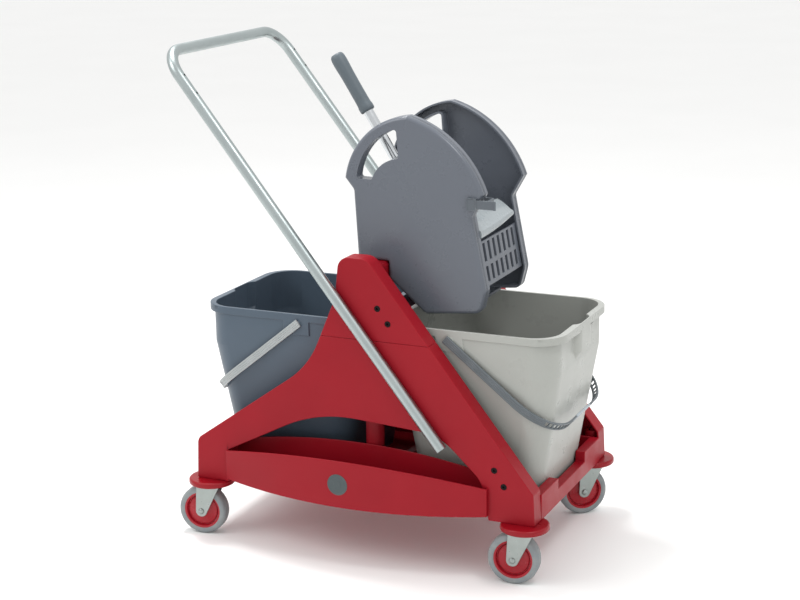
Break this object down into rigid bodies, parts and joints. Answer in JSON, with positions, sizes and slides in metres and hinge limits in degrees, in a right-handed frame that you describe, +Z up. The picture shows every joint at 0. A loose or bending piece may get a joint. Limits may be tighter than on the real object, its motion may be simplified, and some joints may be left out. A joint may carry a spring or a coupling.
{
  "type": "mop bucket trolley",
  "caption": "Mop trolley with paired buckets, push handle, swivel casters and a lift-off lever press wringer.",
  "frame": {"origin": "on the floor, under the middle of the whole trolley", "axes": "X along the trolley with the push handle at -X, Y across it, Z up"},
  "size_m": [0.7968, 0.524, 0.989],
  "materials": {
    "moulding_red": "deep red moulded polypropylene, satin",
    "handle_tube": "satin anodised tube",
    "zinc_steel": "zinc plated pressed steel",
    "tyre_grey": "non-marking grey rubber",
    "hub_red": "red moulded wheel centre",
    "bucket_blue_grey": "blue-grey polypropylene",
    "bucket_light_grey": "light grey polypropylene",
    "wringer_grey": "mid grey moulded plastic",
    "dark_grey": "dark grey plastic",
    "bail_light": "light grey plastic",
    "guide_white": "white plastic",
    "chrome_tube": "chromed tube",
    "screw_black": "black oxide screw"
  },
  "bodies": {
    "frame": {"base_tray": "moulding_red", "yoke": "moulding_red", "push_handle": "handle_tube", "side_panel_near": "moulding_red", "divider_post_near": "moulding_red", "storage_tray_near": "moulding_red", "panel_screw_near_1": "screw_black", "panel_screw_near_2": "screw_black", "panel_screw_near_3": "screw_black", "panel_screw_near_4": "screw_black", "handle_bolt_near_upper": "zinc_steel", "handle_bolt_near_lower": "zinc_steel", "side_panel_far": "moulding_red", "divider_post_far": "moulding_red", "storage_tray_far": "moulding_red", "panel_screw_far_1": "screw_black", "panel_screw_far_2": "screw_black", "panel_screw_far_3": "screw_black", "panel_screw_far_4": "screw_black", "handle_bolt_far_upper": "zinc_steel", "handle_bolt_far_lower": "zinc_steel", "bumper_disc_rear_near": "moulding_red", "bumper_disc_front_near": "moulding_red", "bumper_disc_rear_far": "moulding_red", "bumper_disc_front_far": "moulding_red"},
    "caster_rear_near": {"fork_rear_near": "zinc_steel", "axle_rear_near": "zinc_steel"},
    "wheel_rear_near": {"wheel_hub_rear_near": "hub_red", "tyre_rear_near": "tyre_grey"},
    "caster_front_near": {"fork_front_near": "zinc_steel", "axle_front_near": "zinc_steel"},
    "wheel_front_near": {"wheel_hub_front_near": "hub_red", "tyre_front_near": "tyre_grey"},
    "caster_rear_far": {"fork_rear_far": "zinc_steel", "axle_rear_far": "zinc_steel"},
    "wheel_rear_far": {"wheel_hub_rear_far": "hub_red", "tyre_rear_far": "tyre_grey"},
    "caster_front_far": {"fork_front_far": "zinc_steel", "axle_front_far": "zinc_steel"},
    "wheel_front_far": {"wheel_hub_front_far": "hub_red", "tyre_front_far": "tyre_grey"},
    "bucket_left": {"bucket_left": "bucket_blue_grey"},
    "bail_left": {"bail_left": "bail_light", "bail_grip_left": "bail_light"},
    "bucket_right": {"bucket_right": "bucket_light_grey"},
    "bail_right": {"bail_right": "dark_grey", "bail_grip_right": "bail_light"},
    "wringer": {"wringer_plate_near": "wringer_grey", "wringer_plate_far": "wringer_grey", "wringer_grille": "wringer_grey", "wringer_floor_pan": "wringer_grey", "guide_plate": "guide_white", "mop_clip": "dark_grey", "lever_shaft": "zinc_steel", "press_rod": "zinc_steel"},
    "lever": {"lever_socket": "dark_grey", "lever_tube": "chrome_tube", "lever_grip": "dark_grey", "crank_pin": "zinc_steel"},
    "press_plate": {"press_plate": "wringer_grey"}
  },
  "joints": [
    {"name": "swivel_rear_near", "type": "hinge", "parent": "frame", "child": "caster_rear_near", "pos_m": [-0.32719, -0.1986, 0.121], "axis": [0, 0, 1], "continuous": true},
    {"name": "roll_rear_near", "type": "hinge", "parent": "caster_rear_near", "child": "wheel_rear_near", "pos_m": [-0.347, -0.20138, 0.05], "axis": [-0.1392, 0.9903, 0], "continuous": true},
    {"name": "swivel_front_near", "type": "hinge", "parent": "frame", "child": "caster_front_near", "pos_m": [0.34681, -0.1986, 0.121], "axis": [0, 0, 1], "continuous": true},
    {"name": "roll_front_near", "type": "hinge", "parent": "caster_front_near", "child": "wheel_front_near", "pos_m": [0.32692, -0.20069, 0.05], "axis": [-0.1045, 0.9945, 0], "continuous": true},
    {"name": "swivel_rear_far", "type": "hinge", "parent": "frame", "child": "caster_rear_far", "pos_m": [-0.32719, 0.1986, 0.121], "axis": [0, 0, 1], "continuous": true},
    {"name": "roll_rear_far", "type": "hinge", "parent": "caster_rear_far", "child": "wheel_rear_far", "pos_m": [-0.3466, 0.19376, 0.05], "axis": [-0.2419, 0.9703, 0], "continuous": true},
    {"name": "swivel_front_far", "type": "hinge", "parent": "frame", "child": "caster_front_far", "pos_m": [0.34681, 0.1986, 0.121], "axis": [0, 0, 1], "continuous": true},
    {"name": "roll_front_far", "type": "hinge", "parent": "caster_front_far", "child": "wheel_front_far", "pos_m": [0.33105, 0.18629, 0.05], "axis": [-0.6157, 0.788, 0], "continuous": true},
    {"name": "wringer_lift", "type": "slide", "parent": "frame", "child": "wringer", "axis": [0, 0, 1], "range_m": [0, 0.3]},
    {"name": "bucket_right_lift", "type": "slide", "parent": "frame", "child": "bucket_right", "axis": [0, 0, 1], "range_m": [0, 0.1]},
    {"name": "bucket_left_lift", "type": "slide", "parent": "frame", "child": "bucket_left", "axis": [0, 0, 1], "range_m": [0, 0.09]},
    {"name": "bail_right_swing", "type": "hinge", "parent": "bucket_right", "child": "bail_right", "pos_m": [0.18081, 0, 0.448], "axis": [0, -1, 0], "range_deg": [0, 95]},
    {"name": "bail_left_swing", "type": "hinge", "parent": "bucket_left", "child": "bail_left", "pos_m": [-0.14319, 0, 0.448], "axis": [0, 1, 0], "range_deg": [0, 125]},
    {"name": "lever_pull", "type": "hinge", "parent": "wringer", "child": "lever", "pos_m": [0.05781, 0, 0.6685], "axis": [0, -1, 0], "range_deg": [0, 65], "stiffness_Nm_per_rad": 2, "springref_deg": -51.57},
    {"name": "press_swing", "type": "hinge", "parent": "wringer", "child": "press_plate", "pos_m": [0.10681, 0, 0.518], "axis": [0, 1, 0], "range_deg": [0, 22.4]}
  ],
  "couplings": [
    {"joint": "press_swing", "follows": "lever_pull", "ratio": 0.337},
    {"joint": "bucket_right_lift", "follows": "wringer_lift", "ratio": 0.33}
  ]
}
